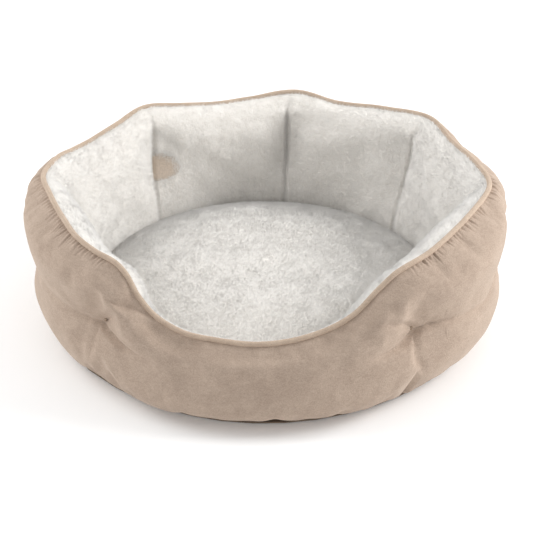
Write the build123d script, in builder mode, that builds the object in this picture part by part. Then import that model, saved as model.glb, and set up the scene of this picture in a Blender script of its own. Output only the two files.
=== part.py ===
"""Round pet bed: a filled wall with a low entrance, and a seat cushion that lifts out of its well.

Millimetres, +Z up. The origin is the middle of the footprint, on the floor, and the entrance
faces -Y. Seven ties pull the wall in. Each tie marks a corner of the rim, a seam of the lining
and the end of a chamber of filling.
"""

import os
from math import cos, pi, radians, sin

from build123d import *

os.makedirs("parts", exist_ok=True)

# Overall sizes
bed_width = 508.0
wall_height = 162.0
shoulder_height = 145.0
lip_height = 84.0
wall_thickness = 70.0
cushion_thickness = 60.0

# Ties, as angles from +X: five at the high corners, then the two beside the entrance
tie_angles = (0, 42, 86, 129, 180, 228, 311)
chamber_names = (
    "right_rear",
    "rear_right",
    "rear_left",
    "left_rear",
    "left_front",
    "entrance",
    "right_front",
)
tie_diameter = 2.0
knot_diameter = 8.0
knot_thickness = 2.2
knot_stand_off = wall_thickness * 0.02

# Rim, in plan and in height
rim_inset = 18.0  # high corners, inside the widest bulge
shoulder_overhang = 27.0  # rim beside the entrance, outside the well
lip_overhang = 18.0  # rim at the middle of the entrance, outside the well
rim_scallop = 10.0  # how far the rim cuts in between two high corners
rim_sag = 9.0  # how far it hangs between them
dip_share = 0.27  # share of the entrance that each slope of the rim takes

# Outer face of the wall
shoulder_bulge_inset = 18.0  # upper bulge beside the entrance, inside the widest bulge
lip_bulge_inset = 28.0  # the same at the middle of the entrance
low_bulge_inset = 4.5
base_inset = 26.0
base_tuck = 3.0  # how far a tie draws the base edge in
waist_inset = 10.5  # waist between two ties, inside the widest bulge
waist_pull = 18.0  # how much further a tie draws it in
front_inset = 6.5  # how much flatter the front of the bed is
low_bulge_level = 0.29  # levels are shares of the rim's height above the same spot
waist_level = 0.55
upper_bulge_level = 0.84

# Inner face of the wall
well_straight_level = 0.24
foot_lean = 5.0  # lining at its foot, outside the well
straight_lean = 2.0  # lining where it leaves the cushion, outside the well
lining_lean = 8.0  # lining at the waist, outside the well, behind
lip_lean = 2.0  # the same at the entrance
lining_pull = 14.0  # how much further a tie draws the lining out
crown_width = 23.0  # from the rim to the lining below it, behind
lip_crown_width = 14.0  # the same at the entrance
lining_swell = 9.0  # how far the lining swells in below the rim between two ties

# Cloth, pile and trim
outer_cloth = 2.0
lining_cloth = 6.0
base_cloth = 1.5
floor_cloth = 1.5
floor_wadding_thickness = 5.0
cushion_pile = 5.0
cushion_backing = 1.5
piping_diameter = 5.5
piping_cord_diameter = 3.5
piping_cloth = 1.0
piping_flange = 8.0
ply_gap = 0.3
filling_gap = wall_thickness * 0.02
chamber_gap = 4.0
cushion_clearance = 2.5
edge_seam_diameter = 3.0
base_edge_gap = 0.5
stitch_diameter = 5.0
stitch_thickness = 1.2
filling_share = 0.88  # how far up each face of the wall the filling reaches

# Seat cushion
cushion_seam_height = 26.0
crown_drop = 7.0
crown_shoulder_width = 42.0
underside_round = 16.0

# Grip dots
dot_diameter = 9.0
dot_height = 1.0
dot_rings = 3
dot_ring_spacing = 58.0
dots_in_first_ring = 6

# Sizes that follow from these
widest_radius = bed_width / 2
well_radius = widest_radius - wall_thickness
rim_radii = (widest_radius - rim_inset, well_radius + shoulder_overhang, well_radius + lip_overhang)
rim_heights = (wall_height, shoulder_height, lip_height)
bulge_radii = (
    widest_radius,
    widest_radius - shoulder_bulge_inset,
    widest_radius - lip_bulge_inset,
)
base_underside = dot_height
base_top = base_underside + base_cloth
wadding_bottom = base_top + ply_gap
floor_bottom = wadding_bottom + floor_wadding_thickness + ply_gap
floor_top = floor_bottom + floor_cloth
cushion_bottom = floor_top + ply_gap
cushion_radius = well_radius - cushion_clearance
piping_radius = piping_diameter / 2
piping_bore = (piping_cord_diameter + ply_gap) / 2
well_inside = well_radius - ply_gap
cushion_face = cushion_bottom + cushion_thickness
cushion_seam = cushion_bottom + cushion_seam_height
crown_shoulder_radius = cushion_radius - crown_shoulder_width
flat_radius = cushion_radius - underside_round
edge_seam_circle = cushion_radius - edge_seam_diameter / 2
spans_per_chamber = 4
spans_at_entrance = 10
entrance = chamber_names.index("entrance")
outer_panels = {
    "outer_right_panel": ("right_front", "right_rear", "rear_right"),
    "outer_left_panel": ("rear_left", "left_rear", "left_front"),
    "outer_front_panel": ("entrance",),
}


def smooth(share):
    """Ease from 0 to 1."""
    share = min(max(share, 0.0), 1.0)
    return share * share * (3 - 2 * share)


def chamber_ends(index):
    """Angles of the two ties that close a chamber."""
    start = tie_angles[index]
    end = tie_angles[(index + 1) % len(tie_angles)]
    return start, end if end > start else end + 360


def chamber_at(angle):
    """The chamber at an angle, and how far through it the angle lies, from 0 to 1."""
    turn = angle % 360
    for index in range(len(tie_angles)):
        start, end = chamber_ends(index)
        if start <= turn < end:
            return index, (turn - start) / (end - start)
    return len(tie_angles) - 1, 0.0


def along_rim(angle, corner, shoulder, lip):
    """A value that goes from the high corners to the ties beside the entrance and on to its lip."""
    index, share = chamber_at(angle)
    if index == entrance:
        slope = smooth(min(share, 1 - share) / dip_share)
        return shoulder + (lip - shoulder) * slope
    if index == entrance - 1:
        return corner + (shoulder - corner) * smooth(share)
    if index == entrance + 1:
        return corner + (shoulder - corner) * smooth(1 - share)
    return corner


def swell(angle):
    """0 at a tie and 1 halfway between two."""
    return sin(pi * chamber_at(angle)[1]) ** 2


def rim_point(angle):
    """Centre of the piping, as radius and height."""
    hang = swell(angle) * along_rim(angle, 1, 0, 0)
    radius = along_rim(angle, *rim_radii) - rim_scallop * hang
    height = along_rim(angle, *rim_heights) - rim_sag * hang
    return radius, height


def waist_point(angle):
    """Where a tie comes out of the wall."""
    front = front_inset * max(0.0, -sin(radians(angle)))
    radius = widest_radius - waist_inset - waist_pull * (1 - swell(angle)) - front
    return radius, rim_point(angle)[1] * waist_level


def lining_point(angle):
    """Where a tie goes into the lining, at the height of the waist."""
    lean = along_rim(angle, lining_lean, lining_lean, lip_lean)
    radius = well_radius + lean + lining_pull * (1 - swell(angle))
    return radius, waist_point(angle)[1]


def outer_face(angle):
    """Points of the wall's outer face, from the floor up to the piping."""
    radius, height = rim_point(angle)
    front = front_inset * max(0.0, -sin(radians(angle)))
    tuck = base_tuck * (1 - swell(angle))
    return [
        (widest_radius - base_inset - front - tuck, base_underside),
        (widest_radius - low_bulge_inset - front, height * low_bulge_level),
        waist_point(angle),
        (along_rim(angle, *bulge_radii), height * upper_bulge_level),
        (radius + 3.2 * piping_radius, height - 2.6 * piping_radius),
        (radius + 0.9 * piping_radius, height - 1.4 * piping_radius),
    ]


def inner_face(angle):
    """Points of the wall's inner face, from the base panel up to the piping."""
    radius, height = rim_point(angle)
    crown = along_rim(angle, crown_width, crown_width, lip_crown_width)
    inward = lining_swell * swell(angle) * along_rim(angle, 1, 1, 0)
    return [
        (well_radius + foot_lean, base_top + ply_gap),
        (well_radius + straight_lean, height * well_straight_level),
        lining_point(angle),
        (radius - crown - inward, height * upper_bulge_level),
        (radius - 0.55 * crown, height - 1.2 * piping_radius),
        (radius - 0.8 * piping_radius, height - 1.1 * piping_radius),
    ]


def ply(points, depth, length_share=1.0):
    """A smooth curve that lies a depth to the left of a run of points, cut to a share of its length."""
    moved = []
    for index, point in enumerate(points):
        before = Vector(*points[max(index - 1, 0)])
        after = Vector(*points[min(index + 1, len(points) - 1)])
        along = (after - before).normalized()
        moved.append(Vector(*point) + Vector(-along.Y, along.X) * depth)
    curve = Spline(*moved, mode=Mode.PRIVATE)
    return curve.trim(0, length_share) if length_share < 1 else curve


def close_outline(first, second):
    """Two curves that run the same way, joined at both ends."""
    add(first)
    add(second)
    Line(first @ 0, second @ 0)
    Line(first @ 1, second @ 1)


def wall_plane(angle):
    """Upright plane through the bed's axis: its x is the radius and its y the height."""
    turn = radians(angle)
    return Plane(origin=(0, 0, 0), x_dir=(cos(turn), sin(turn), 0), z_dir=(sin(turn), -cos(turn), 0))


def spans(index, gap=0.0):
    """Neighbouring angles through a chamber, which stops half a gap short of each tie."""
    start, end = chamber_ends(index)
    short = gap / 2 / radians(1) / well_radius
    count = spans_at_entrance if index == entrance else spans_per_chamber
    step = (end - start - 2 * short) / count
    angles = [start + short + step * i for i in range(count + 1)]
    return list(zip(angles[:-1], angles[1:]))


def wall_spans(pairs, outline):
    """Wall material through neighbouring pairs of angles, from the outline at each."""
    with BuildPart() as wall:
        for pair in pairs:
            for angle in pair:
                with BuildSketch(wall_plane(angle)):
                    with BuildLine():
                        outline(angle)
                    make_face()
            loft(ruled=True)
    return wall.part


def outer_outline(angle):
    points = outer_face(angle)
    close_outline(ply(points, 0), ply(points, outer_cloth))


def lining_outline(angle):
    points = inner_face(angle)
    close_outline(ply(points, 0), ply(points, -lining_cloth))


def filling_outline(angle):
    outer_side = ply(outer_face(angle), outer_cloth + filling_gap, filling_share)
    inner_side = ply(inner_face(angle), -lining_cloth - filling_gap, filling_share)
    close_outline(outer_side, inner_side)


def tie_plane(angle, radius):
    """Square to a tie, at a radius."""
    turn = radians(angle)
    height = waist_point(angle)[1]
    centre = (radius * cos(turn), radius * sin(turn), height)
    return Plane(origin=centre, z_dir=(cos(turn), sin(turn), 0))


def pierce_for_ties():
    """Holes through cloth where the ties cross it."""
    for angle in tie_angles:
        middle = (lining_point(angle)[0] + waist_point(angle)[0]) / 2
        with Locations(tie_plane(angle, middle)):
            Cylinder(tie_diameter / 2 + ply_gap, wall_thickness, mode=Mode.SUBTRACT)


def write(piece, name):
    piece.part.label = name
    export_step(piece.part, f"parts/{name}.step")


# Base: dots, the non-slip panel, its wadding and the cloth floor of the well

with BuildPart() as grip_dots:
    with Locations((0, 0, 0)):
        Cylinder(dot_diameter / 2, dot_height, align=(Align.CENTER, Align.CENTER, Align.MIN))
    for ring in range(1, dot_rings + 1):
        with PolarLocations(ring * dot_ring_spacing, ring * dots_in_first_ring):
            Cylinder(dot_diameter / 2, dot_height, align=(Align.CENTER, Align.CENTER, Align.MIN))
write(grip_dots, "grip_dots")

with BuildPart() as base_panel:
    with BuildSketch(Plane.XY.offset(base_underside)):
        with BuildLine():
            edge = []
            for index in range(len(tie_angles)):
                for angle, _ in spans(index):
                    radius = outer_face(angle)[0][0] - outer_cloth - base_edge_gap
                    edge.append((radius * cos(radians(angle)), radius * sin(radians(angle))))
            Polyline(*edge, close=True)
        make_face()
    extrude(amount=base_cloth)
write(base_panel, "base_panel")

with BuildPart() as floor_wadding:
    with BuildSketch(Plane.XY.offset(wadding_bottom)):
        Circle(well_inside)
    extrude(amount=floor_wadding_thickness)
write(floor_wadding, "floor_wadding")

with BuildPart() as floor_panel:
    with BuildSketch(Plane.XY.offset(floor_bottom)):
        Circle(well_inside)
    extrude(amount=floor_cloth)
write(floor_panel, "floor_panel")

# Wall: a filled chamber and a lining panel between each two ties

for index, name in enumerate(chamber_names):
    with BuildPart() as filling:
        add(wall_spans(spans(index, chamber_gap), filling_outline))
        split(bisect_by=Plane.XY.offset(base_top + ply_gap), keep=Keep.TOP)
    write(filling, f"filling_{name}")

    with BuildPart() as lining:
        add(wall_spans(spans(index), lining_outline))
        pierce_for_ties()
    write(lining, f"lining_{name}")

# Outer cloth: one panel each side, seamed at the back, and one across the entrance

for name, chambers in outer_panels.items():
    with BuildPart() as outer_panel:
        for chamber in chambers:
            add(wall_spans(spans(chamber_names.index(chamber)), outer_outline))
        pierce_for_ties()
    write(outer_panel, name)

# Rim: cloth piping over a cord, with a flange sewn in between the outer cloth and the lining

rim_spans = [pair for index in range(len(tie_angles)) for pair in spans(index)]

with BuildPart() as rim_piping_cover:
    for pair in rim_spans:
        for angle in pair:
            radius, height = rim_point(angle)
            with BuildSketch(wall_plane(angle)):
                with Locations((radius, height)):
                    Circle(piping_radius)
                with Locations((radius, height - piping_bore - ply_gap)):
                    Rectangle(piping_cloth, piping_flange, align=(Align.CENTER, Align.MAX))
                with Locations((radius, height)):
                    Circle(piping_bore, mode=Mode.SUBTRACT)
        loft(ruled=True)
write(rim_piping_cover, "rim_piping_cover")

with BuildPart() as rim_piping_cord:
    for pair in rim_spans:
        for angle in pair:
            with BuildSketch(wall_plane(angle)):
                with Locations(rim_point(angle)):
                    Circle(piping_cord_diameter / 2)
        loft(ruled=True)
write(rim_piping_cord, "rim_piping_cord")

# Ties: a thread through the wall with a knot outside and a stitch inside

with BuildPart() as tuft_ties:
    for angle in tie_angles:
        start = lining_point(angle)[0] - knot_stand_off
        end = waist_point(angle)[0] + knot_stand_off
        low = (Align.CENTER, Align.CENTER, Align.MIN)
        high = (Align.CENTER, Align.CENTER, Align.MAX)
        with Locations(tie_plane(angle, start)):
            Cylinder(tie_diameter / 2, end - start, align=low)
            Cylinder(stitch_diameter / 2, stitch_thickness, align=high)
        with Locations(tie_plane(angle, end)):
            Cylinder(knot_diameter / 2, knot_thickness, align=low)
write(tuft_ties, "tuft_ties")

# Seat cushion, lifted out by hand


def cushion_top(depth):
    """Crowned half of the cushion's section, a depth below its surface, from its axis out."""
    return Spline(
        (0, cushion_face - depth),
        (crown_shoulder_radius - depth / 2, cushion_face - crown_drop - depth),
        (cushion_radius - depth, cushion_seam),
        tangents=((1, 0), (0, -1)),
        mode=Mode.PRIVATE,
    )


def cushion_underside(depth):
    """Flat-bottomed half of the section, from its axis out."""
    flat = Edge.make_line((0, cushion_bottom + depth), (flat_radius, cushion_bottom + depth))
    side = Spline(
        (flat_radius, cushion_bottom + depth),
        (cushion_radius - depth, cushion_seam),
        tangents=((1, 0), (0, 1)),
        mode=Mode.PRIVATE,
    )
    return Wire([flat, side])


def turn_section(first, second):
    """A ring or disc of cushion between two runs of its half section."""
    with BuildPart() as turned:
        with BuildSketch(Plane.XZ):
            with BuildLine():
                close_outline(first, second)
            make_face()
        revolve(axis=Axis.Z)
    return turned.part


def clear_edge_seam():
    """Room for the overlocked seam round the cushion."""
    with Locations((0, 0, cushion_seam)):
        Torus(edge_seam_circle, edge_seam_diameter / 2 + ply_gap, mode=Mode.SUBTRACT)


with BuildPart() as cushion_top_panel:
    add(turn_section(cushion_top(0), cushion_top(cushion_pile)))
    clear_edge_seam()
write(cushion_top_panel, "cushion_top_panel")

with BuildPart() as cushion_bottom_panel:
    add(turn_section(cushion_underside(0), cushion_underside(cushion_backing)))
    clear_edge_seam()
write(cushion_bottom_panel, "cushion_bottom_panel")

with BuildPart() as cushion_filling:
    crown = cushion_top(cushion_pile + ply_gap)
    underside = cushion_underside(cushion_backing + ply_gap)
    add(turn_section(crown, underside))
    clear_edge_seam()
write(cushion_filling, "cushion_filling")

with BuildPart() as cushion_edge_seam:
    with Locations((0, 0, cushion_seam)):
        Torus(edge_seam_circle, edge_seam_diameter / 2)
write(cushion_edge_seam, "cushion_edge_seam")
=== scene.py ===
"""Looks of the round pet bed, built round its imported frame. Metres, +Z up, entrance towards -Y."""

from math import cos, pi, radians, sin

import bpy
import numpy as np
from mathutils import Matrix, Vector


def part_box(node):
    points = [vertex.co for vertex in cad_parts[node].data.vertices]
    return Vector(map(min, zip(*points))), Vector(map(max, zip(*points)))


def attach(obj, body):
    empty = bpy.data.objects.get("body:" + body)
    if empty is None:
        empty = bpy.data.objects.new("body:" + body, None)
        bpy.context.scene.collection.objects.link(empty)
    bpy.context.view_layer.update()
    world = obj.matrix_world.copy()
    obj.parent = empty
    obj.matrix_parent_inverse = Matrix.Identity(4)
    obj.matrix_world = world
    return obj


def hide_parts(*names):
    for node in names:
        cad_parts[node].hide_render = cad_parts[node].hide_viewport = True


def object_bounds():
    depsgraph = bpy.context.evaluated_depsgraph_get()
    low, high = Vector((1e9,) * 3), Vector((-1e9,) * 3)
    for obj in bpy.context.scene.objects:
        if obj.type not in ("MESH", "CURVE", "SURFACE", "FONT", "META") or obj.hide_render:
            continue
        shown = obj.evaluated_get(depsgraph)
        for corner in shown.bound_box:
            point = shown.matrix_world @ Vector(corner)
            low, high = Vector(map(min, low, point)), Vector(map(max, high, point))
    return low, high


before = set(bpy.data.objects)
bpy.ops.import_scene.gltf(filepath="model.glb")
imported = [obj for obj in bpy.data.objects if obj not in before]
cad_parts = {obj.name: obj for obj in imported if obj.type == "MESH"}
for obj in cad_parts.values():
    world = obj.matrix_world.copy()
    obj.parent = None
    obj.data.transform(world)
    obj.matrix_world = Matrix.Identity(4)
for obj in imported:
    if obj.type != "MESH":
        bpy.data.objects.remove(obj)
cad_low, cad_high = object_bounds()

# ---------------------------------------------------------------- sizes

# Shape tables below are in millimetres for a bed 508 wide with its rim at 162; the frame scales them.
# The values in RIM, SKIRT and CREASES and the camera's place were first solved by a scratch program from
# points picked on the reference, then rounded. RIM and SKIRT were also adjusted.
MM = 0.001
DRAWN_HALF_WIDTH = 254.0
DRAWN_RIM_HEIGHT = 164.75
ACROSS = cad_high[0] / (DRAWN_HALF_WIDTH * MM)
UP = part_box("rim_piping_cover")[1].z / (DRAWN_RIM_HEIGHT * MM)

TIES = (0, 42, 86, 129, 180, 226.5, 313)
CHAMBERS = (
    "right_rear",
    "rear_right",
    "rear_left",
    "left_rear",
    "left_front",
    "entrance",
    "right_front",
)


OUTER_PANELS = {
    "outer_right_panel": (313, 446),
    "outer_left_panel": (86, 226.5),
    "outer_front_panel": (226.5, 313),
}

# Rim: angle, radius and height of the piping's centre. Corners at the ties, low across the entrance.
RIM = (
    (0, 235.5, 162),
    (13, 231, 161),
    (28, 229, 160),
    (42, 238, 165.5),
    (55, 230.5, 162),
    (71, 227, 157),
    (84, 235, 161.5),
    (97, 227, 156),
    (108, 224, 154),
    (119, 228, 157),
    (129, 236, 161),
    (140, 229, 156),
    (151, 227.5, 153),
    (160, 229.5, 155.5),
    (168, 233, 160.5),
    (180, 236, 162),
    (192, 226, 161),
    (203, 221, 158),
    (214, 220, 154),
    (222, 216, 149.5),
    (228, 211.5, 146),
    (232, 210, 136.5),
    (235.5, 208.5, 117),
    (241, 206, 98.5),
    (249, 204, 87.5),
    (258, 203, 85),
    (270, 202.5, 83.5),
    (281, 203, 87),
    (291, 204, 96),
    (298.5, 206, 109.5),
    (305, 209, 131),
    (310.5, 211.5, 145),
    (322, 215.5, 152.5),
    (334, 217.5, 158),
    (346, 224, 161),
)

# Outer face: angle, then the radius of the base edge, the low bulge and the upper bulge
SKIRT = (
    (0, 229, 251, 256.5),
    (21, 229, 251, 259),
    (42, 227, 248, 257),
    (64, 228, 249, 254),
    (86, 226, 246, 250),
    (107, 227, 248, 252),
    (129, 227, 247, 252),
    (154, 229, 250, 257),
    (168, 229, 250, 257.5),
    (180, 228, 249, 256),
    (204, 223, 244.5, 252),
    (227.5, 220, 240, 238),
    (248, 220, 243, 229),
    (270, 218.5, 241, 226),
    (292, 219.5, 242, 229),
    (312, 221, 243, 238),
    (336, 227, 250, 253),
    (348, 229, 252, 255),
)

WAIST_LEVEL = 0.56  # levels are shares of the rim's height above the same spot
LOW_LEVEL = 0.29
HIGH_LEVEL = 0.83
WELL_RADIUS = 184.0
PIPING_RADIUS = 2.75
PILE_LENGTH = 4.6

COLUMNS_PER_DEGREE = 6
OUTER_ROWS = 110
LINING_ROWS = 76


# ---------------------------------------------------------------- curves and surfaces


def around(angles, table):
    """Smooth closed curve through a table of angle and values, at many angles: one column per value."""
    knots = np.array([row[0] for row in table], float)
    values = np.array([row[1:] for row in table], float)
    count = len(knots)
    turn = np.mod(angles - knots[0], 360) + knots[0]
    i = np.searchsorted(knots, turn, side="right") - 1

    def knot(j):
        return knots[j % count] + 360 * (j // count)

    def value(j):
        return values[j % count]

    width = (knot(i + 1) - knot(i))[:, None]
    start_slope = (value(i + 1) - value(i - 1)) / (knot(i + 1) - knot(i - 1))[:, None] * width
    end_slope = (value(i + 2) - value(i)) / (knot(i + 2) - knot(i))[:, None] * width
    t = ((turn - knot(i)) / (knot(i + 1) - knot(i)))[:, None]
    return (
        (2 * t**3 - 3 * t**2 + 1) * value(i)
        + (t**3 - 2 * t**2 + t) * start_slope
        + (3 * t**2 - 2 * t**3) * value(i + 1)
        + (t**3 - t**2) * end_slope
    )


def profile(points, count):
    """Evenly spaced points on a smooth curve through each row of points."""
    before = np.concatenate([2 * points[:, :1] - points[:, 1:2], points[:, :-1]], 1)[:, :-1]
    start, end = points[:, :-1], points[:, 1:]
    after = np.concatenate([points[:, 2:], 2 * points[:, -1:] - points[:, -2:-1]], 1)
    t = np.linspace(0, 1, 12, endpoint=False)[None, None, :, None]
    a, b, c, d = (x[:, :, None] for x in (before, start, end, after))
    curve = 0.5 * (2 * b + (c - a) * t + (2 * a - 5 * b + 4 * c - d) * t**2 + (3 * b - a - 3 * c + d) * t**3)
    curve = curve.reshape(len(points), -1, 2)
    curve = np.concatenate([curve, points[:, -1:]], 1)
    steps = np.linalg.norm(np.diff(curve, axis=1), axis=2)
    run = np.concatenate([np.zeros((len(points), 1)), np.cumsum(steps, 1)], 1)
    out = np.empty((len(points), count, 2))
    for row in range(len(points)):
        wanted = np.linspace(0, run[row, -1], count)
        out[row, :, 0] = np.interp(wanted, run[row], curve[row, :, 0])
        out[row, :, 1] = np.interp(wanted, run[row], curve[row, :, 1])
    return out


def away(angles, centre):
    """Signed angle from a centre, in degrees from -180 to 180."""
    return np.mod(angles - centre + 180, 360) - 180


def tie_nearness(angles, width):
    """1 at a tie, falling to 0 over a width in degrees."""
    return np.max([np.exp(-((away(angles, tie) / width) ** 2)) for tie in TIES], axis=0)


def ease(x):
    x = np.clip(x, 0, 1)
    return x * x * (3 - 2 * x)


def pillow(angles):
    """How far a chamber swells: 0 at its ties, 1 half way between them."""
    ties = np.array(TIES + (TIES[0] + 360,), float)
    turn = np.mod(angles, 360)
    i = np.searchsorted(ties, turn, side="right") - 1
    return np.sin(pi * (turn - ties[i]) / (ties[i + 1] - ties[i]))


def lowness(angles):
    """0 where the rim is high, 1 at the middle of the entrance."""
    return np.clip((158 - around(angles, RIM)[:, 1]) / 74, 0, 1)


def outer_controls(angles):
    """Points of the outer face, from under the base edge up to the piping, as radius and height."""
    radius, height = around(angles, RIM).T
    base, low, high = around(angles, SKIRT).T
    pull = tie_nearness(angles, 7)
    near = tie_nearness(angles, 15)
    level = np.ones_like(radius)
    waist = 0.5 * (low + high) - 3 - 4 * near - 7 * pull
    points = [
        (base - 16, 2.2 * level),
        (base - 6 - 1.5 * pull, 2.3 * level),
        (base + 6 - 2 * pull, 9.5 * level),
        (low - 0.5 * pull, height * LOW_LEVEL),
        (waist, height * WAIST_LEVEL),
        (high - pull, height * HIGH_LEVEL),
        (radius + 10, height - 8.5),
        (radius + 1, height - 1.6),
    ]
    return np.array(points).transpose(2, 0, 1)


def inner_controls(angles):
    """Points of the lining's backing, from its foot up and over the crown to the piping."""
    radius, height = around(angles, RIM).T
    low = lowness(angles)
    high = 1 - low
    pull = tie_nearness(angles, 6)
    swell = pillow(angles) ** 0.75
    crown = 25 - 9 * low
    level = np.ones_like(radius)
    points = [
        (WELL_RADIUS + 6 * level, 4 * level),
        (WELL_RADIUS + 3 * level, 0.2 * height),
        (WELL_RADIUS + 6 - 3 * low + 4 * pull * high, 0.4 * height),
        (WELL_RADIUS + 16 - 13 * low - 10 * swell * high + 8 * pull * high, height * 0.6),
        (radius - crown + 1 - (11 * swell - 2 * pull) * high, height * 0.8),
        (radius - 0.86 * crown - 6 * swell * high, height - 16 + 3 * low),
        (radius - 0.6 * crown - 3 * swell * high, height - 6.5 - 2 * pull),
        (radius - 0.32 * crown, height - 2.2 - pull),
        (radius - 1, height - 1),
    ]
    return np.array(points).transpose(2, 0, 1)


def in_space(angles, radius_height):
    """Points in space, in metres, from angles and (radius, height) pairs in drawn millimetres."""
    turn = np.radians(angles)
    while turn.ndim < radius_height.ndim - 1:
        turn = turn[:, None]
    reach = radius_height[..., 0] * MM * ACROSS
    return np.stack([reach * np.cos(turn), reach * np.sin(turn), radius_height[..., 1] * MM * UP], -1)


def widened(angles):
    """The same angles with one more at each end, so that neighbouring pieces share their edge normals."""
    return np.concatenate([[2 * angles[0] - angles[1]], angles, [2 * angles[-1] - angles[-2]]])


def grid_normals(grid, outward=1):
    """Unit normals of a grid of points, columns by rows."""
    across = np.gradient(grid, axis=0)
    along = np.gradient(grid, axis=1)
    normal = np.cross(across, along) * outward
    return normal / np.maximum(np.linalg.norm(normal, axis=-1, keepdims=True), 1e-12)


def lattice_noise(points, size, seed):
    """Smooth noise from -1 to 1 in space, with features of about a size in metres."""
    table = np.random.default_rng(seed).uniform(-1, 1, (32, 32, 32))
    cell = points / size + 1000.0
    low = np.floor(cell).astype(int)
    t = cell - low
    t = t * t * (3 - 2 * t)
    total = 0
    for dx in (0, 1):
        for dy in (0, 1):
            for dz in (0, 1):
                share = (
                    (t[..., 0] if dx else 1 - t[..., 0])
                    * (t[..., 1] if dy else 1 - t[..., 1])
                    * (t[..., 2] if dz else 1 - t[..., 2])
                )
                total = total + share * table[
                    (low[..., 0] + dx) % 32, (low[..., 1] + dy) % 32, (low[..., 2] + dz) % 32
                ]
    return total


# ---------------------------------------------------------------- mesh building


def link(name, mesh, material):
    piece = bpy.data.objects.new(name, mesh)
    bpy.context.scene.collection.objects.link(piece)
    mesh.materials.append(material)
    return piece


def mesh_from_arrays(name, points, faces, smooth=True):
    """A mesh from arrays. Faces is a list of (n, corners) integer arrays."""
    mesh = bpy.data.meshes.new(name)
    points = np.asarray(points, np.float32).reshape(-1, 3)
    mesh.vertices.add(len(points))
    mesh.vertices.foreach_set("co", points.ravel())
    corners = np.concatenate([f.ravel() for f in faces]).astype(np.int32)
    sizes = np.concatenate([np.full(len(f), f.shape[1]) for f in faces])
    starts = np.concatenate([[0], np.cumsum(sizes)[:-1]]).astype(np.int32)
    mesh.loops.add(len(corners))
    mesh.loops.foreach_set("vertex_index", corners)
    mesh.polygons.add(len(starts))
    mesh.polygons.foreach_set("loop_start", starts)
    mesh.polygons.foreach_set("use_smooth", np.full(len(starts), smooth))
    mesh.update(calc_edges=True)
    mesh.validate()
    return mesh


def grid_faces(columns, rows, closed_columns=False, closed_rows=False, first=0):
    i = np.arange(columns if closed_columns else columns - 1)
    j = np.arange(rows if closed_rows else rows - 1)
    i, j = np.meshgrid(i, j, indexing="ij")
    i, j = i.ravel(), j.ravel()
    i2, j2 = (i + 1) % columns, (j + 1) % rows
    return first + np.stack([i * rows + j, i2 * rows + j, i2 * rows + j2, i * rows + j2], -1)


def grid_piece(name, grid, material, **closed):
    mesh = mesh_from_arrays(name, grid, [grid_faces(grid.shape[0], grid.shape[1], **closed)])
    return link(name, mesh, material)


# ---------------------------------------------------------------- materials


def srgb(red, green, blue):
    """Linear colour from 0 to 255 display values."""
    out = []
    for value in (red, green, blue):
        value /= 255
        out.append(value / 12.92 if value <= 0.04045 else ((value + 0.055) / 1.055) ** 2.4)
    return (*out, 1.0)


class Shader:
    """A node material with short calls for what cloth needs."""

    def __init__(self, name, roughness=0.9, sheen=0.0, sheen_roughness=0.4, tint=(1, 1, 1, 1)):
        self.material = bpy.data.materials.new(name)
        self.material.use_nodes = True
        self.nodes = self.material.node_tree.nodes
        self.links = self.material.node_tree.links
        self.surface = self.nodes["Principled BSDF"]
        self.set("Roughness", roughness)
        self.set("Sheen Weight", sheen)
        self.set("Sheen Roughness", sheen_roughness)
        self.set("Sheen Tint", tint)
        self.set("Specular IOR Level", 0.15)

    def set(self, socket, value):
        self.surface.inputs[socket].default_value = value

    def place(self, stretch=(1, 1, 1)):
        """Object coordinates in metres, stretched."""
        coordinates = self.nodes.new("ShaderNodeTexCoord")
        mapping = self.nodes.new("ShaderNodeMapping")
        mapping.inputs["Scale"].default_value = stretch
        self.links.new(coordinates.outputs["Object"], mapping.inputs["Vector"])
        return mapping.outputs["Vector"]

    def noise(self, size, detail=2.0, stretch=(1, 1, 1), distortion=0.0):
        """Noise with features of about a size in metres."""
        node = self.nodes.new("ShaderNodeTexNoise")
        node.inputs["Scale"].default_value = 1 / size
        node.inputs["Detail"].default_value = detail
        node.inputs["Distortion"].default_value = distortion
        self.links.new(self.place(stretch), node.inputs["Vector"])
        return node.outputs["Fac"]

    def ramp(self, value, low, high, first, last):
        """Colours from first to last as a value goes from low to high."""
        node = self.nodes.new("ShaderNodeValToRGB")
        node.color_ramp.elements[0].position = low
        node.color_ramp.elements[1].position = high
        node.color_ramp.elements[0].color = first
        node.color_ramp.elements[1].color = last
        self.links.new(value, node.inputs["Fac"])
        return node.outputs["Color"]

    def mix(self, share, first, second, way="MIX"):
        """Colour first turned into second by a share, which is a number or a socket."""
        node = self.nodes.new("ShaderNodeMix")
        node.data_type = "RGBA"
        node.blend_type = way
        for name, value in (("Factor", share), ("A", first), ("B", second)):
            socket = [s for s in node.inputs if s.name == name and s.enabled][0]
            if hasattr(value, "is_output"):
                self.links.new(value, socket)
            else:
                socket.default_value = value
        return [s for s in node.outputs if s.enabled][0]

    def color(self, socket):
        self.links.new(socket, self.surface.inputs["Base Color"])

    def bump(self, *layers):
        """Bumps from (height socket, depth in metres) pairs, laid over each other."""
        last = None
        for height, depth in layers:
            node = self.nodes.new("ShaderNodeBump")
            node.inputs["Strength"].default_value = 1.0
            node.inputs["Distance"].default_value = depth
            self.links.new(height, node.inputs["Height"])
            if last is not None:
                self.links.new(last, node.inputs["Normal"])
            last = node.outputs["Normal"]
        self.links.new(last, self.surface.inputs["Normal"])


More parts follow.
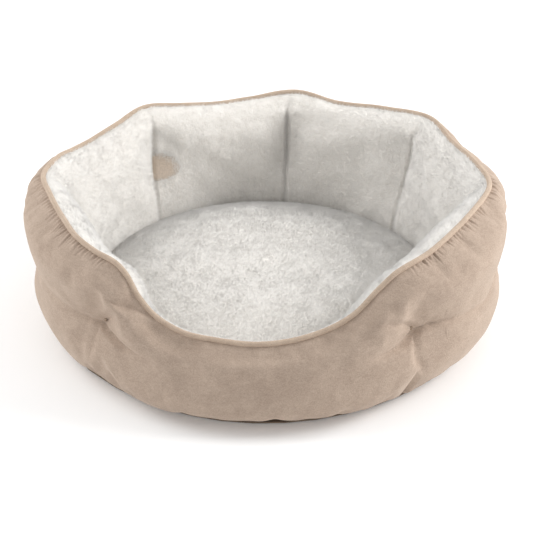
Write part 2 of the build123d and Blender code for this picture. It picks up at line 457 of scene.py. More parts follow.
def suede(name, light, dark, grain=0.0011):
    """Brushed microsuede: a short nap in soft cloudy patches, with a fine grain."""
    cloth = Shader(name, roughness=0.92, sheen=0.35, sheen_roughness=0.45, tint=srgb(255, 240, 224))
    clouds = cloth.noise(0.022, detail=4, distortion=0.6)
    strokes = cloth.noise(0.006, detail=3, stretch=(1, 1, 2.2), distortion=1.2)
    fibres = cloth.noise(grain, detail=3)
    base = cloth.ramp(clouds, 0.32, 0.68, dark, light)
    brushed = cloth.mix(0.5, base, cloth.ramp(strokes, 0.3, 0.7, dark, light))
    fine = cloth.ramp(fibres, 0.3, 0.7, (0.86, 0.86, 0.86, 1), (1.1, 1.1, 1.1, 1))
    cloth.color(cloth.mix(1.0, brushed, fine, way="MULTIPLY"))
    cloth.bump((strokes, 0.00025), (fibres, 0.00035))
    return cloth.material


def plush_backing(name):
    """Knitted backing between the tufts of pile, in soft clumps."""
    cloth = Shader(name, roughness=0.95, sheen=0.3, sheen_roughness=0.5)
    clumps = cloth.noise(0.006, detail=3)
    fibres = cloth.noise(0.0012, detail=2)
    cloth.color(cloth.ramp(clumps, 0.3, 0.7, srgb(232, 227, 220), srgb(245, 241, 235)))
    cloth.bump((clumps, 0.0015), (fibres, 0.0006))
    return cloth.material


def pile_fibre(name):
    """The tufts themselves, each too fine to carry a pattern."""
    fibre = Shader(name, roughness=0.85, sheen=0.25, sheen_roughness=0.5)
    fibre.set("Base Color", srgb(247, 244, 239))
    return fibre.material


def fibre_fill(name):
    """Carded polyester fibre."""
    fill = Shader(name, roughness=0.95)
    strands = fill.noise(0.004, detail=5, stretch=(1, 1, 4), distortion=2)
    fill.color(fill.ramp(strands, 0.3, 0.7, srgb(222, 222, 220), srgb(248, 248, 246)))
    fill.bump((strands, 0.002))
    return fill.material


def woven(name, light, dark, pitch):
    """Plain weave: two crossed sets of ridges over a mottled colour."""
    cloth = Shader(name, roughness=0.85, sheen=0.1)
    ridges = []
    for direction in ("X", "Y"):
        wave = cloth.nodes.new("ShaderNodeTexWave")
        wave.bands_direction = direction
        wave.inputs["Scale"].default_value = 1 / (pitch * 2 * pi)
        cloth.links.new(cloth.place(), wave.inputs["Vector"])
        ridges.append(wave.outputs["Color"])
    weave = cloth.mix(0.5, ridges[0], ridges[1])
    mottle = cloth.ramp(cloth.noise(0.012, detail=4), 0.3, 0.7, dark, light)
    cloth.color(cloth.mix(0.25, mottle, weave, way="MULTIPLY"))
    cloth.bump((weave, 0.0002))
    return cloth.material


def rubber(name):
    """Soft moulded grip dots with a slightly rough skin."""
    skin = Shader(name, roughness=0.6)
    pores = skin.noise(0.0009, detail=2)
    skin.color(skin.ramp(pores, 0.3, 0.7, srgb(92, 80, 70), srgb(112, 99, 88)))
    skin.bump((pores, 0.0001))
    return skin.material


def twisted_thread(name, light, dark, pitch=0.0012):
    """Sewing thread or cord: fine slanting plies."""
    thread = Shader(name, roughness=0.7, sheen=0.15)
    plies = thread.noise(pitch, detail=1, stretch=(1, 1, 0.4))
    thread.color(thread.ramp(plies, 0.35, 0.65, dark, light))
    thread.bump((plies, 0.0003))
    return thread.material


SUEDE = suede("suede_taupe", srgb(186, 167, 151), srgb(166, 147, 132))
PIPING_CLOTH = suede("suede_piping", srgb(200, 180, 161), srgb(178, 158, 140), grain=0.0009)
# Inner floor cloth in its own taupe; the same material also paints the shadow patch in the rear left lining
# corner.
FLOOR_AND_SHADOW_SUEDE = suede("suede_inner_and_painted_shadow", srgb(208, 193, 178), srgb(190, 175, 160))
PLUSH = plush_backing("plush_backing")
PILE = pile_fibre("plush_pile")
FILL = fibre_fill("polyester_fill")
BASE_CLOTH = woven("base_weave", srgb(150, 134, 118), srgb(126, 111, 97), 0.0009)
GRIP = rubber("grip_rubber")
THREAD = twisted_thread("thread_taupe", srgb(176, 156, 136), srgb(140, 120, 102))
CORD = twisted_thread("cotton_cord", srgb(236, 232, 222), srgb(206, 200, 188))


# ---------------------------------------------------------------- outer cloth


def gathers(angles, distance_down):
    """Depth of the puckers where the outer cloth is gathered on to the piping: columns by rows, in mm."""
    draw = np.random.default_rng(21)
    depth = np.zeros_like(distance_down)
    centre = 0.0
    while centre < 360:
        close = 150 < centre < 226  # the left side is drawn in finely, the right in fewer, deeper puckers
        length = draw.uniform(8, 19) * (1.6 if draw.random() < 0.15 else 1.0)
        deep = draw.uniform(0.8, 1.8) if close else draw.uniform(0.6, 2.3)
        wide = draw.uniform(0.22, 0.4)
        lean = draw.uniform(-0.03, 0.05)
        quiet = ease((abs(away(np.array(centre), 270)) - 40) / 8)
        column = np.abs(away(angles, centre)) < 4
        across = away(angles[column], centre)[:, None] - lean * distance_down[column]
        fade = ease(1 - distance_down[column] / length) * ease(distance_down[column] / 2 + 0.2)
        shoulder = np.exp(-(((np.abs(across) - 2.2 * wide) / wide) ** 2))
        valley = np.exp(-((across / wide) ** 2)) - 0.35 * shoulder
        depth[column] += quiet * deep * valley * fade
        centre += draw.uniform(0.75, 1.5) if close else draw.uniform(0.9, 2.6)
    return depth


# Creases of the outer cloth: angle, height and depth of each point, and a half width
CREASES = [
    (((184, 92, 1), (198, 93, 1.8), (208, 87, 1.6), (217, 80, 3), (222, 78.5, 5), (225.5, 78, 7)), 4.5),
    (((225.5, 78, 7), (230, 73, 6.5), (235, 67.5, 4.5), (241, 64, 1.5), (247, 63, 0)), 3.6),
    (((225.5, 78, 4), (225, 66, 0.6), (224.5, 30, 0.2), (224, 8, 1.8)), 5.0),
    (((229, 124, 0), (232.5, 115.5, 2.5), (235, 109.5, 3), (237.5, 103.5, 2.2), (242, 96, 0)), 2.6),
    (((227, 82, 5), (230, 92, 2), (234, 98, 0)), 4.0),
    (
        (
            *((356, 90, 1), (346, 84, 2.4), (337, 78, 3), (328, 79.5, 3.4)),
            *((321.5, 82, 4.4), (317, 82, 6), (313.5, 79, 8)),
        ),
        4.2,
    ),
    (((313.5, 79, 8), (308, 72, 5), (303, 70, 3), (297.5, 71.5, 0)), 4.0),
    (((313.5, 79, 4), (312.5, 66, 0.8), (311, 46, 0.3), (311.5, 21, 1.2), (311.5, 6, 3.5)), 4.5),
    (((313, 84, 3), (309, 96, 1.6), (304, 103, 1.6), (300, 102, 1.4), (296, 100, 0)), 3.0),
]


def plain_creases():
    """Creases that run out from the ties at the sides and the back, guessed from the front ones."""
    draw = np.random.default_rng(5)
    creases = []
    for tie in (0, 42, 86, 129, 180):
        level = around(np.array([float(tie)]), RIM)[0, 1] * WAIST_LEVEL
        for way in (-1, 1):
            drop = draw.uniform(-2, 5)
            reach = draw.uniform(15, 21)
            arm = [
                (tie, level, 8),
                (tie + way * 3.5, level + 0.5 - drop * 0.2, 6),
                (tie + way * 8, level - drop * 0.6, 4),
                (tie + way * 0.7 * reach, level - drop, 2.5),
                (tie + way * reach, level - drop * 0.8, 0.5),
            ]
            creases.append((tuple(arm), 4.5))
            steep = draw.uniform(2, 5) * way
            down = ((tie, level, 6), (tie + steep, level - 20, 2.5), (tie + 1.6 * steep, level - 38, 0))
            creases.append((down, 4.0))
            up = ((tie, level, 5), (tie + steep, level + 16, 2), (tie + 1.5 * steep, level + 32, 0))
            creases.append((up, 4.0))
        creases.append((((tie, level, 5), (tie + 0.5, level - 35, 1.2), (tie, 30, 1.5), (tie, 6, 3)), 4.5))
    return creases


def crease_depth(angles, radius_height):
    """Depth of the creases: columns by rows, in mm. A crease is sharp in the middle and swells beside it."""
    depth = np.zeros(radius_height.shape[:2])
    for points, wide in CREASES + plain_creases():
        line = np.array(points, float)
        middle = line[:, 0].mean()
        near = np.abs(away(angles, middle)) < np.ptp(line[:, 0]) / 2 + 8
        across = np.radians(away(angles[near], middle))[:, None] * 236
        place = np.stack([across + 0 * radius_height[near, :, 1], radius_height[near, :, 1]], -1)
        run = np.stack([np.radians(line[:, 0] - middle) * 236, line[:, 1]], -1)
        nearest = np.full(place.shape[:2], 1e9)
        deep = np.zeros(place.shape[:2])
        for a, b, start, end in zip(run[:-1], run[1:], line[:-1, 2], line[1:, 2]):
            t = np.clip(((place - a) @ (b - a)) / max(((b - a) ** 2).sum(), 1e-9), 0, 1)
            gap = np.linalg.norm(place - a - t[..., None] * (b - a), axis=-1)
            closer = gap < nearest
            nearest = np.where(closer, gap, nearest)
            deep = np.where(closer, start + (end - start) * t, deep)
        valley = 0.6 * np.exp(-nearest / (0.5 * wide)) + 0.4 * np.exp(-((nearest / (1.4 * wide)) ** 2))
        lip = np.exp(-(((nearest - 2.3 * wide) / (1.1 * wide)) ** 2))
        depth[near] = np.maximum(depth[near], deep * valley) - 0.16 * deep * lip
    return depth


def run_lengths(flat):
    steps = np.linalg.norm(np.diff(flat, axis=1), axis=2)
    return np.concatenate([np.zeros((len(flat), 1)), np.cumsum(steps, 1)], 1)


def settled(grid, held, pressure, growth, limit, closed=True, frames=20):
    """How far each point of a cloth grid moves when the filling presses on it, from a cloth simulation."""
    columns, rows = grid.shape[:2]
    cloth = grid_piece("simulated_cloth", grid, SUEDE, closed_columns=closed)
    group = cloth.vertex_groups.new(name="held")
    group.add([int(i) for i in np.flatnonzero(held.ravel())], 1.0, "REPLACE")
    modifier = cloth.modifiers.new("cloth", "CLOTH")
    settings = modifier.settings
    settings.quality = 6
    settings.use_pressure = True
    settings.uniform_pressure_force = pressure
    settings.vertex_group_mass = "held"
    settings.shrink_min = -growth
    settings.shrink_max = -growth
    settings.bending_stiffness = 0.4
    settings.effector_weights.gravity = 0
    modifier.point_cache.frame_start = 1
    modifier.point_cache.frame_end = frames
    scene = bpy.context.scene
    for frame_number in range(1, frames + 1):
        scene.frame_set(frame_number)
    result = cloth.evaluated_get(bpy.context.evaluated_depsgraph_get()).data
    points = np.empty(columns * rows * 3, np.float32)
    result.vertices.foreach_get("co", points)
    moved = points.reshape(columns, rows, 3) - grid
    scene.frame_set(1)
    mesh = cloth.data
    bpy.data.objects.remove(cloth)
    bpy.data.meshes.remove(mesh)
    far = np.linalg.norm(moved, axis=-1, keepdims=True)
    cap = limit * MM
    return moved * (cap * np.tanh(far / cap) / np.maximum(far, 1e-9))


def smoothed(field, times, closed=True):
    """A grid field softened along both directions."""
    for _ in range(times):
        if closed:
            field = 0.25 * np.roll(field, 1, 0) + 0.5 * field + 0.25 * np.roll(field, -1, 0)
        inner = 0.25 * field[:, :-2] + 0.5 * field[:, 1:-1] + 0.25 * field[:, 2:]
        field = np.concatenate([field[:, :1], inner, field[:, -1:]], 1)
    return field


def between(before, a, b, after, t):
    """A smooth curve from a to b, at a share t of the way, that heeds the values on either side."""
    square = 2 * before - 5 * a + 4 * b - after
    cube = 3 * a - before - 3 * b + after
    return 0.5 * (2 * a + (b - before) * t + square * t**2 + cube * t**3)


def resampled(field, start_angles, angles, rows):
    """A closed coarse grid field read at other angles and with other rows, smoothly."""
    count, old_rows = field.shape[:2]
    place = np.mod(angles - start_angles[0], 360) / 360 * count
    i = np.floor(place).astype(int)
    t = (place - i)[:, None, None]
    wide = between(*(field[(i + k) % count] for k in (-1, 0, 1, 2)), t)
    place = np.linspace(0, old_rows - 1, rows)
    j = np.clip(np.floor(place).astype(int), 0, old_rows - 2)
    t = (place - j)[None, :, None]
    return between(*(wide[:, np.clip(j + k, 0, old_rows - 1)] for k in (-1, 0, 1, 2)), t)


SIM_ANGLES = np.arange(0, 360, 1.0)
SIM_ROWS = 48


def creased(angles, rows):
    """The outer cloth with its creases, and how far each point is below the piping, in mm."""
    flat = profile(outer_controls(angles), rows)
    run = run_lengths(flat)
    grid = in_space(angles, flat)
    normal = grid_normals(grid)
    inward = crease_depth(angles, flat)
    soft = 1.0 * lattice_noise(grid, 0.05, 3) + 0.5 * lattice_noise(grid, 0.022, 4)
    down = run[:, -1:] - run
    edge = ease(down / 10) * ease(run / 25)
    return grid + normal * ((soft * edge - inward * ease(run / 20)) * MM)[..., None], down


def outer_swell():
    """Simulated swelling and puckering of the outer cloth, held at the piping, the base and the ties."""
    grid, _ = creased(SIM_ANGLES, SIM_ROWS)
    held = np.zeros(grid.shape[:2], bool)
    held[:, :4] = True
    held[:, -1] = True
    for tie in TIES:
        level = around(np.array([float(tie)]), RIM)[0, 1] * WAIST_LEVEL * MM * UP
        near = np.radians(away(SIM_ANGLES, tie))[:, None] * 0.236
        held |= np.hypot(near, grid[..., 2] - level) < 0.005
    moved = settled(grid, held, pressure=3.0, growth=0.035, limit=7)
    gentle = smoothed(moved, 60)
    return smoothed(moved - 0.75 * gentle, 1)


def outer_surface(angles):
    """Points of the finished outer cloth: columns by rows, in metres."""
    angles = widened(widened(angles))
    grid, down = creased(angles, OUTER_ROWS)
    grid = grid + resampled(SWELL, SIM_ANGLES, angles, OUTER_ROWS)
    normal = grid_normals(grid)
    grid = grid - normal * (gathers(angles, down) * MM)[..., None]
    grid[..., 2] = np.maximum(grid[..., 2], 0.0015)
    return grid[2:-2]


def build_outer():
    for name, (start, end) in OUTER_PANELS.items():
        count = round((end - start) * COLUMNS_PER_DEGREE) + 1
        angles = np.linspace(start, end, count)
        piece = grid_piece(name + "_cloth", outer_surface(angles), SUEDE)
        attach(piece, "bed")
        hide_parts(name)


# ---------------------------------------------------------------- lining and pile


def lining_surface(angles, rows=LINING_ROWS):
    """Points of the lining's backing and their normals into the well: columns by rows, in metres."""
    angles = widened(widened(angles))
    flat = profile(inner_controls(angles), rows)
    height = flat[..., 1]
    rim = around(angles, RIM)[:, 1:]
    drift = 5 * np.exp(-((away(angles, 129) / 13) ** 2))[:, None] * ease(1.15 - height / rim)
    turn = np.radians(angles[:, None] + drift)
    reach = flat[..., 0] * MM * ACROSS
    grid = np.stack([reach * np.cos(turn), reach * np.sin(turn), height * MM * UP], -1)
    seam = tie_nearness(angles, 0.9)[:, None] * ease((rim - height) / 14) * 2.6
    soft = 2.0 * lattice_noise(grid, 0.05, 8) + 1.2 * lattice_noise(grid, 0.02, 9)
    edge = ease((rim - height) / 10)
    grid = grid + grid_normals(grid, -1) * ((soft * edge - seam) * MM)[..., None]
    return grid[2:-2], grid_normals(grid, -1)[2:-2]


def pile_mesh(name, points, normals, lean, draw, length=PILE_LENGTH, width=0.72):
    """Short tapered tufts, each a three-sided spike. They are shaded mostly like the cloth they stand on."""
    count = len(points)
    tall = length * MM * draw.uniform(0.6, 1.1, (count, 1))
    half = width * MM * draw.uniform(0.6, 1.1, (count, 1)) / 2
    side = np.cross(normals, draw.normal(size=(count, 3)))
    side /= np.linalg.norm(side, axis=1, keepdims=True)
    other = np.cross(normals, side)
    start = points - normals * 0.0008
    tip = points + (normals * 0.75 + lean) * tall
    ring = [side * cos(t) + other * sin(t) for t in (0, 2 * pi / 3, 4 * pi / 3)]
    corners = np.stack([start + out * half for out in ring] + [tip], 1)
    first = np.arange(count)[:, None] * 4
    faces = [first + np.array(three) for three in ((0, 1, 3), (1, 2, 3), (2, 0, 3))]
    mesh = mesh_from_arrays(name, corners, faces)
    facing = np.stack([normals + out * 0.2 for out in ring] + [normals + lean * 0.3], 1).reshape(-1, 3)
    facing /= np.linalg.norm(facing, axis=1, keepdims=True)
    mesh.normals_split_custom_set_from_vertices(facing.tolist())
    return mesh


def scatter(grid, normal, count, draw, weight=None):
    """Random points on a grid of points, evenly by area, with their normals."""
    a, b, c = grid[:-1, :-1], grid[1:, :-1], grid[:-1, 1:]
    area = np.linalg.norm(np.cross(b - a, c - a), axis=-1)
    if weight is not None:
        area = area * weight[:-1, :-1]
    share = np.cumsum(area.ravel())
    cell = np.searchsorted(share, (np.arange(count) + draw.random(count)) / count * share[-1])
    cell = np.minimum(cell, area.size - 1)
    i, j = np.divmod(cell, area.shape[1])
    s, t = draw.random((2, count, 1))

    def blend(field):
        return (
            field[i, j] * (1 - s) * (1 - t)
            + field[i + 1, j] * s * (1 - t)
            + field[i, j + 1] * (1 - s) * t
            + field[i + 1, j + 1] * s * t
        )

    direction = blend(normal)
    return blend(grid), direction / np.linalg.norm(direction, axis=1, keepdims=True)


def nap(points, normals, draw, fall=(0, 0, -0.25)):
    """Direction that each tuft leans: a slight fall, soft swirls that clump tufts, and a little scatter."""
    swirl = np.stack([lattice_noise(points, 0.011, seed) for seed in (31, 32, 33)], 1)
    fine = np.stack([lattice_noise(points, 0.0045, seed) for seed in (34, 35, 36)], 1)
    lean = np.array(fall) + 0.28 * swirl + 0.22 * fine + 0.3 * draw.normal(size=points.shape)
    return lean - normals * np.sum(lean * normals, axis=1, keepdims=True)


PILE_PER_SQUARE_MM = 1.15


def surface_area(grid):
    a, b, c = grid[:-1, :-1], grid[1:, :-1], grid[:-1, 1:]
    return np.linalg.norm(np.cross(b - a, c - a), axis=-1).sum()


def painted_shadow_share(angles, grid):
    """Painted shadow mask: 1 in the rear left lining's corner by its seam, where a taupe patch stands for
    shadow and the pile is taken away, fading to 0 round it.
    """
    across = away(angles, 129)[:, None] * -4.0 + 0 * grid[..., 2]
    level = grid[..., 2] / (MM * UP)
    ragged = 0.08 * lattice_noise(grid, 0.006, 71) + 0.03 * lattice_noise(grid, 0.0025, 72)
    spread = np.hypot(across / 38, np.maximum(level - 92, 0) / 27)
    bottom = ease((level - 80 - 6 * (across / 30) ** 2) / 5)
    return ease((1 - spread) / 0.62 + ragged) * bottom * (across > 0.5)


def build_painted_shadow_patch():
    """Painted shadow: a smooth taupe cloth patch in the rear left lining's corner, laid where the pile is
    taken away.
    """
    angles = np.linspace(116, 129, 105)
    grid, normal = lining_surface(angles, 240)
    level = grid[..., 2] / (MM * UP)
    keep = painted_shadow_share(angles, grid) > 0.2
    mesh_grid = grid + normal * 0.0005
    faces = grid_faces(*level.shape)
    faces = faces[keep.ravel()[faces].all(1)]
    used, renumbered = np.unique(faces, return_inverse=True)
    mesh = mesh_from_arrays("shadow_patch_mesh", mesh_grid.reshape(-1, 3)[used], [renumbered.reshape(faces.shape)])
    patch = link("lining_painted_shadow_patch", mesh, FLOOR_AND_SHADOW_SUEDE)
    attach(patch, "bed")


def build_lining():
    draw = np.random.default_rng(11)
    for index, name in enumerate(CHAMBERS):
        start = TIES[index]
        end = TIES[(index + 1) % len(TIES)]
        end = end if end > start else end + 360
        angles = np.linspace(start, end, round((end - start) * 3) + 1)
        grid, normal = lining_surface(angles)
        backing = grid_piece("lining_" + name + "_backing", grid, PLUSH)
        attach(backing, "bed")
        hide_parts("lining_" + name)
        cover = (grid[..., 2] > 0.035 * UP).astype(float)
        if name == "rear_left":
            # Painted shadow: the pile is taken away over the taupe patch and crowded round its edge.
            shade_mask = painted_shadow_share(angles, grid)
            cover *= (1 - 0.99 * ease(shade_mask * 1.15)) * (1 + 3 * ease(shade_mask * 5) * ease((0.9 - shade_mask) * 2.5))
        amount = int(surface_area(grid) * cover.mean() * 1e6 * PILE_PER_SQUARE_MM)
        points, directions = scatter(grid, normal, amount, draw, cover)
        lean = nap(points, directions, draw)
        mesh = pile_mesh("pile_" + name, points, directions, lean, draw)
        tufts = link("lining_" + name + "_pile", mesh, PILE)
        tufts.visible_shadow = False
        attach(tufts, "bed")


# ---------------------------------------------------------------- rim piping


def tube(name, line, radius, material, corners=14, closed=True, ripple=0.0):
    """A tube along a line of points, its radius in metres, with fine slanting puckers."""
    ahead = np.roll(line, -1, 0) - np.roll(line, 1, 0)
    if not closed:
        ahead[0] = line[1] - line[0]
        ahead[-1] = line[-1] - line[-2]
    ahead /= np.linalg.norm(ahead, axis=1, keepdims=True)
    out = line * (1, 1, 0) if closed else np.array([0.0, 0.0, 1.0]) + 0 * line
    out = out - ahead * np.sum(out * ahead, axis=1, keepdims=True)
    out /= np.linalg.norm(out, axis=1, keepdims=True)
    up = np.cross(ahead, out)
    turn = np.linspace(0, 2 * pi, corners, endpoint=False)
    run = np.concatenate([[0], np.cumsum(np.linalg.norm(np.diff(line, axis=0), axis=1))])
    wave = 1 + ripple * np.sin(run[:, None] / 0.0031 * 2 * pi + 2 * turn) + 0 * turn
    ring = out[:, None] * np.cos(turn)[None, :, None] + up[:, None] * np.sin(turn)[None, :, None]
    grid = line[:, None] + ring * (radius * wave)[..., None]
    faces = [grid_faces(len(line), corners, closed_columns=closed, closed_rows=True)]
    if not closed:
        faces += [np.arange(corners)[None, ::-1], (len(line) - 1) * corners + np.arange(corners)[None]]
    return link(name, mesh_from_arrays(name, grid, faces), material)


def rim_line(angles, drop=0.0, inward=0.0):
    radius, height = around(angles, RIM).T
    return in_space(angles, np.stack([radius - inward, height - drop], -1)[:, None])[:, 0]


def build_piping():
    angles = np.arange(0, 360, 0.25)
    line = rim_line(angles)
    line += 0.0005 * np.stack([lattice_noise(line, 0.03, s) for s in (41, 42, 43)], 1)
    cover = tube("rim_piping", line, PIPING_RADIUS * MM, PIPING_CLOTH, ripple=0.022)
    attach(cover, "bed")
    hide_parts("rim_piping_cover")
    cord = tube("rim_cord", line, 1.75 * MM, CORD, corners=8, ripple=0.05)
    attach(cord, "bed")
    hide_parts("rim_piping_cord")


# ---------------------------------------------------------------- filling and ties


def build_filling():
    """Each chamber's filling, a few millimetres inside its cloth all round."""
    for index, name in enumerate(CHAMBERS):
        start = TIES[index]
        end = TIES[(index + 1) % len(TIES)]
        end = end if end > start else end + 360
        angles = np.linspace(start + 0.8, end - 0.8, 24)
        outer = profile(outer_controls(angles), 28)[:, 4:-3]
        inner = profile(inner_controls(angles), 28)[:, 1:-4]
        outer = outer - np.array([10.0, 0.0])
        inner = inner + np.array([10.0, 0.0])
        furthest = outer[:, ::-1][:, : inner.shape[1], 0].max(axis=1, keepdims=True) - 6
        inner[..., 0] = np.minimum(inner[..., 0], furthest)
        loop = np.concatenate([outer, inner[:, ::-1]], 1)
        rim = around(angles, RIM)[:, 1:]
        loop[..., 1] = np.clip(loop[..., 1], 6, rim - 20)
        grid = in_space(angles, loop)
        count, rows = grid.shape[:2]
        faces = [grid_faces(count, rows, closed_rows=True)]
        faces += [np.arange(rows)[None, ::-1], (count - 1) * rows + np.arange(rows)[None]]
        fill = link("filling_" + name + "_fibre", mesh_from_arrays("filling_" + name, grid, faces), FILL)
        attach(fill, "bed")
        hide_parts("filling_" + name)


def surface_at(surface, angle, height):
    """The point of a wall surface at an angle and a height, in drawn mm, and its outward direction."""
    grid = surface(np.array([angle - 0.25, angle, angle + 0.25]))
    grid = grid[0] if isinstance(grid, tuple) else grid
    row = np.argmin(np.abs(grid[1, :, 2] - height * MM * UP))
    turn = radians(angle)
    return Vector(grid[1, row]), Vector((cos(turn), sin(turn), 0))


def build_ties():
    """A thread through the wall at each tie, from the lining inside to a wound knot outside."""
    parts = []
    for tie in TIES:
        height = around(np.array([float(tie)]), RIM)[0, 1] * WAIST_LEVEL
        outside, out = surface_at(outer_surface, tie, height)
        inside, _ = surface_at(lining_surface, tie, height)
        across = Vector((0, 0, 1)).cross(out)
        for loop in range(3):
            turn = loop * 1.05
            line = []
            for step in range(24):
                angle = step / 24 * 2 * pi
                flat = across * (cos(angle) * 1.9) + Vector((0, 0, 1)) * (sin(angle) * 0.9)
                flat = Matrix.Rotation(turn, 3, out) @ flat
                line.append(outside + (flat + out * (0.5 * cos(2 * angle + loop) - 0.4)) * MM)
            parts.append(tube("knot_loop", np.array([list(p) for p in line]), 0.55 * MM, THREAD, corners=7))
        straight = np.array([list(inside.lerp(outside, s)) for s in np.linspace(0, 1, 6)])
        parts.append(tube("thread", straight, 0.6 * MM, THREAD, corners=7, closed=False))
    piece = joined("tie_knots", parts)
    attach(piece, "bed")
    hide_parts("tuft_ties")


def joined(name, parts):
    bpy.ops.object.select_all(action="DESELECT")
    for part in parts:
        part.select_set(True)
    bpy.context.view_layer.objects.active = parts[0]
    bpy.ops.object.join()
    parts[0].name = name
    return parts[0]


# ---------------------------------------------------------------- seat cushion


CUSHION_RADIUS = 181.0
CUSHION_SEAM_HEIGHT = 26.0


def cushion_section():
    """Half section of the cushion from the middle of its top round to the middle of its underside."""
    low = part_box("cushion_bottom_panel")[0].z / (MM * UP)
    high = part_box("cushion_top_panel")[1].z / (MM * UP) - 3
    r = CUSHION_RADIUS
    seam = low + CUSHION_SEAM_HEIGHT
    points = [
        (0, high),
        (r * 0.35, high - 1),
        (r * 0.6, high - 4),
        (r * 0.78, high - 10),
        (r * 0.92, high - 20),
        (r, seam),
        (r - 5, low + 9),
        (r - 22, low + 0.8),
        (r * 0.6, low),
        (0, low),
    ]
    return np.array([points], float), seam * MM * UP


def cushion_swell(half, seam):
    """Simulated swelling of the cushion's crown, held at its edge seam and where it lies on the floor."""
    angles = np.arange(0, 360, 3.0)
    rows = 46
    grid = in_space(angles, np.repeat(half[None], len(angles), 0))[:, :: len(half) // rows]
    grid[:, 0, :2] = grid[:, 1, :2] * 0.2
    held = np.abs(grid[..., 2] - seam) < 0.003
    held |= grid[..., 2] < seam - 0.012
    moved = smoothed(settled(grid, held, pressure=-4.0, growth=0.03, limit=6), 2)
    reach = np.linalg.norm(grid[0, :, :2], axis=-1)
    ring = int(np.argmax(reach > 0.07))
    calm = moved[:, ring].mean(0) * (0, 0, 1)
    share = ease((reach[None, :, None] - 0.03) / 0.04)
    return angles, np.where(grid[..., 2:] > seam, moved * share + calm * (1 - share), moved)


def build_cushion():
    columns, rows = 240, 92
    section, seam = cushion_section()
    half = profile(section, rows)[0]
    angles = np.linspace(0, 360, columns, endpoint=False)
    grid = in_space(angles, np.repeat(half[None], columns, 0))
    grid[:, 0, :2] = grid[:, 0, :2] * 0
    swell_angles, swell = cushion_swell(half, seam)
    swell = resampled(swell, swell_angles, angles, rows)
    swell[..., 2] -= 3.5 * MM * ease(np.clip((grid[..., 2] - seam) / (0.02 * UP), 0, 1))
    grid = grid + swell
    rise = np.clip((grid[..., 2] - seam) / (0.03 * UP), 0, 1)
    flat = grid * (1, 1, 0)
    soft = 4.0 * lattice_noise(flat, 0.1, 51) + 2.0 * lattice_noise(flat, 0.045, 52) - 2
    grid[..., 2] += soft * ease(rise) * MM
    split = int(np.argmin(np.abs(half[:, 1] * MM * UP - seam)[:-10]))
    top = grid[:, : split + 1]
    bottom = grid[:, split:]
    cover = grid_piece("cushion_plush_backing", top, PLUSH, closed_columns=True)
    under = grid_piece("cushion_underside", bottom, SUEDE, closed_columns=True)
    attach(cover, "cushion")
    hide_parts("cushion_top_panel")
    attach(under, "cushion")
    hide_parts("cushion_bottom_panel")
    draw = np.random.default_rng(61)
    ring = np.concatenate([top, top[:1]], 0)
    directions = grid_normals(ring)
    directions *= np.sign(directions[..., 2:3] + 1e-9)
    amount = int(surface_area(ring) * 1e6 * PILE_PER_SQUARE_MM)
    for quarter in range(4):
        first, last = quarter * columns // 4, (quarter + 1) * columns // 4
        points, normals = scatter(ring[first : last + 1], directions[first : last + 1], amount // 4, draw)
        lean = nap(points, normals, draw, fall=(0.1, -0.2, 0))
        name = f"cushion_pile_{quarter + 1}"
        tufts = link(name, pile_mesh(name, points, normals, lean, draw), PILE)
        tufts.visible_shadow = False
        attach(tufts, "cushion")
    line = in_space(angles, np.repeat(half[None, split : split + 1], columns, 0))[:, 0]
    edge = tube("cushion_overlock", line, 1.3 * MM, THREAD, corners=8, ripple=0.18)
    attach(edge, "cushion")
    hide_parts("cushion_edge_seam")
    inside = np.repeat(half[None], columns, 0)[::6, ::3].copy()
    inside[..., 0] = inside[..., 0] * 0.93
    inside[..., 1] = np.clip(inside[..., 1] - 17, half[:, 1].min() + 3, None)
    core = grid_piece("cushion_fibre", in_space(angles[::6], inside), FILL, closed_columns=True)
    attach(core, "cushion")
    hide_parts("cushion_filling")


# ---------------------------------------------------------------- base, light and camera


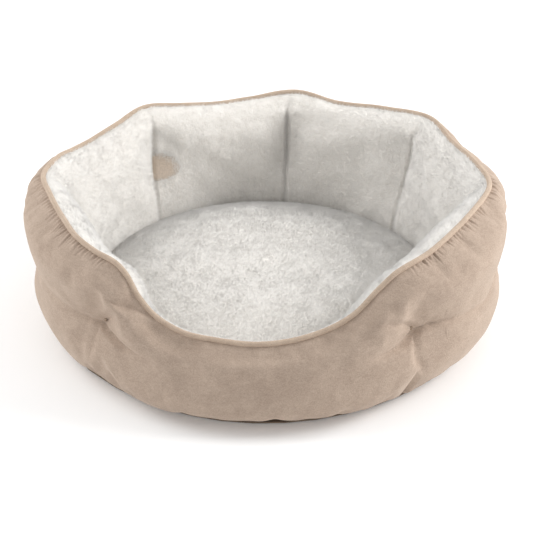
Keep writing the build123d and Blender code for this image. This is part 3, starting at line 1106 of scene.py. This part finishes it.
def dress_base():
    for node, material in (
        ("base_panel", BASE_CLOTH),
        ("grip_dots", GRIP),
        ("floor_wadding", FILL),
        ("floor_panel", FLOOR_AND_SHADOW_SUEDE),
    ):
        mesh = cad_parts[node].data
        mesh.materials.clear()
        mesh.materials.append(material)


def area_light(name, place, target, size, power, color=(1, 1, 1)):
    light = bpy.data.lights.new(name, "AREA")
    light.size = size
    light.energy = power
    light.color = color
    lamp = bpy.data.objects.new(name, light)
    lamp.location = place
    lamp.rotation_euler = (Vector(target) - Vector(place)).to_track_quat("-Z", "Y").to_euler()
    bpy.context.scene.collection.objects.link(lamp)


def build_stage():
    floor_grid = np.array([[(-6, -6, 0), (-6, 6, 0)], [(6, -6, 0), (6, 6, 0)]], float)
    paper = Shader("white_paper", roughness=0.95)
    paper.set("Base Color", (0.9, 0.9, 0.9, 1))
    paper.set("Emission Color", (1, 1, 1, 1))
    paper.set("Emission Strength", 0.1)
    floor = grid_piece("floor", floor_grid, paper.material)
    world = bpy.data.worlds.new("studio")
    world.use_nodes = True
    world.node_tree.nodes["Background"].inputs["Color"].default_value = (1, 1, 1, 1)
    world.node_tree.nodes["Background"].inputs["Strength"].default_value = 0.72
    bpy.context.scene.world = world
    area_light("key", (1.9, 0.3, 1.1), (0, 0, 0.05), 1.0, 37)
    area_light("left", (-1.7, 0.4, 1.3), (0, 0, 0.05), 1.5, 25)
    bpy.context.scene.view_settings.view_transform = "Standard"


CAMERA_TURN = 2.8
CAMERA_RISE = 29.3
CAMERA_DISTANCE = 1.875
LENS = 116.6


def build_camera():
    turn, rise = radians(CAMERA_TURN), radians(CAMERA_RISE)
    back = Vector((sin(turn) * cos(rise), -cos(turn) * cos(rise), sin(rise)))
    data = bpy.data.cameras.new("camera")
    data.lens = LENS
    data.sensor_width = 36
    camera = bpy.data.objects.new("camera", data)
    camera.location = Vector((0.0009, 0, 0.0568 * UP)) + back * CAMERA_DISTANCE
    camera.rotation_euler = back.to_track_quat("Z", "Y").to_euler()
    bpy.context.scene.collection.objects.link(camera)
    bpy.context.scene.camera = camera


build_camera()
build_stage()
dress_base()
SWELL = outer_swell()
build_outer()
build_lining()
build_painted_shadow_patch()
build_piping()
build_filling()
build_ties()
build_cushion()
